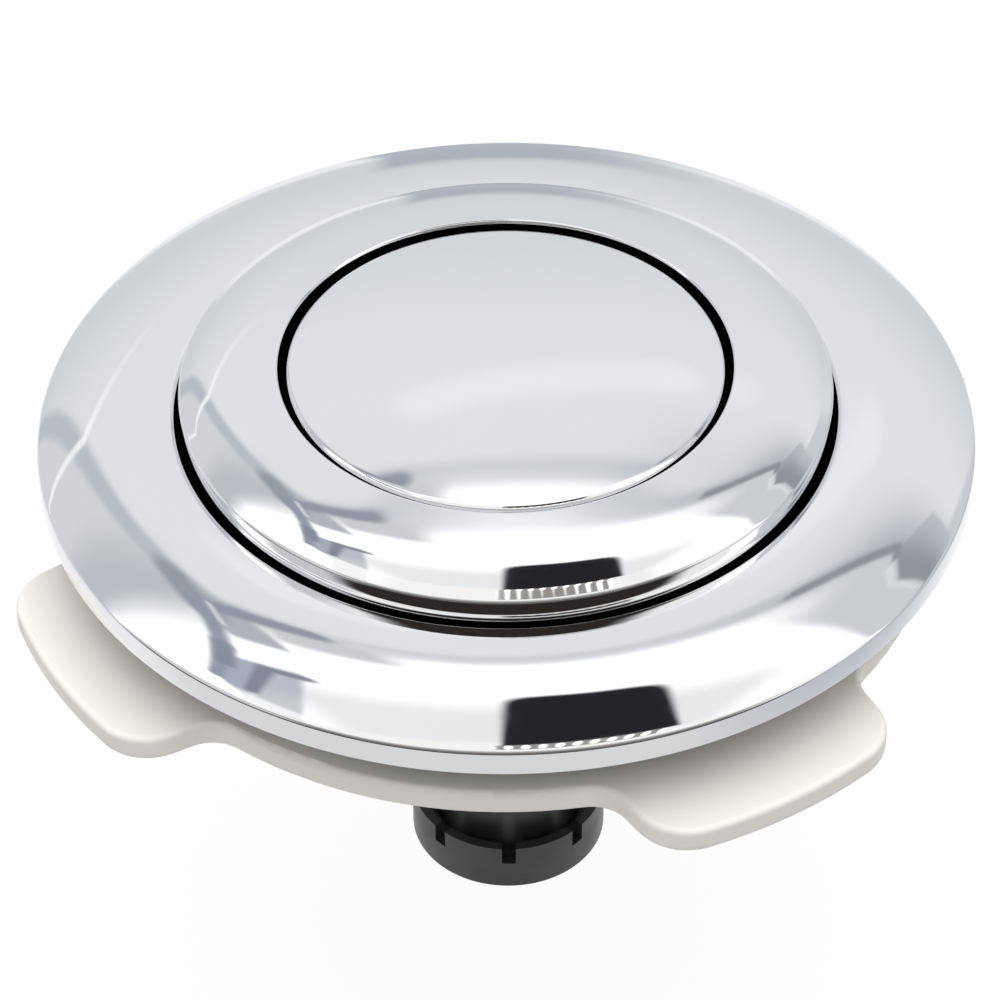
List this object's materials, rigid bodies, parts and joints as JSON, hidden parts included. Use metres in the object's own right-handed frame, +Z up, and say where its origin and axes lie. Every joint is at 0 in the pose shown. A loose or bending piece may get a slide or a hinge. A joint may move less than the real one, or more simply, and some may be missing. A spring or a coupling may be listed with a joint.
{
  "type": "cistern push button actuator",
  "caption": "Round chrome push-button actuator for a cistern lid: domed centre button inside a raised ring button, with bezel, threaded shank, wing nut and nested pushers.",
  "frame": {"origin": "centre of the bezel's lower rim, in the plane that lies on the cistern lid", "axes": "+Z up out of the lid along the buttons' axis, -Y towards the viewer of the picture"},
  "size_m": [0.0774, 0.0774, 0.0549],
  "materials": {
    "chrome": "mirror-bright chrome plate on moulded plastic",
    "white_plastic": "satin warm off-white moulded plastic",
    "black_plastic": "satin black moulded plastic",
    "steel": "drawn stainless wire and pressed clips",
    "rubber": "matt black rubber"
  },
  "bodies": {
    "housing": {"bezel": "chrome", "guide_body": "black_plastic", "rim_gasket": "rubber", "ring_spring": "steel"},
    "ring": {"ring_button": "chrome", "ring_carrier": "black_plastic", "ring_screw_1": "steel", "ring_screw_2": "steel", "ring_screw_3": "steel", "buffer_washer": "rubber", "tube_clip": "steel", "pusher_foot": "black_plastic", "centre_spring": "steel"},
    "centre": {"centre_button": "chrome", "centre_rod": "black_plastic", "rod_buffer": "rubber", "rod_clip": "steel", "rod_tip": "black_plastic"},
    "nut_slider": {"nut_washer": "rubber"},
    "nut": {"wing_nut": "white_plastic"}
  },
  "joints": [
    {"name": "ring_press", "type": "slide", "parent": "housing", "child": "ring", "axis": [0, 0, -1], "range_m": [0, 0.005], "stiffness_N_per_m": 900, "springref_m": -0.004, "deforming": ["ring_spring"]},
    {"name": "centre_press", "type": "slide", "parent": "ring", "child": "centre", "axis": [0, 0, -1], "range_m": [0, 0.005], "stiffness_N_per_m": 700, "springref_m": -0.004, "deforming": ["centre_spring"]},
    {"name": "nut_travel", "type": "slide", "parent": "housing", "child": "nut_slider", "axis": [0, 0, 1], "range_m": [-0.0015, 0.004]},
    {"name": "nut_turn", "type": "hinge", "parent": "nut_slider", "child": "nut", "pos_m": [0, 0, 0], "axis": [0, 0, 1], "range_deg": [-180, 480]}
  ],
  "couplings": [
    {"joint": "nut_travel", "follows": "nut_turn", "m_per_rad": 0.00047746}
  ]
}
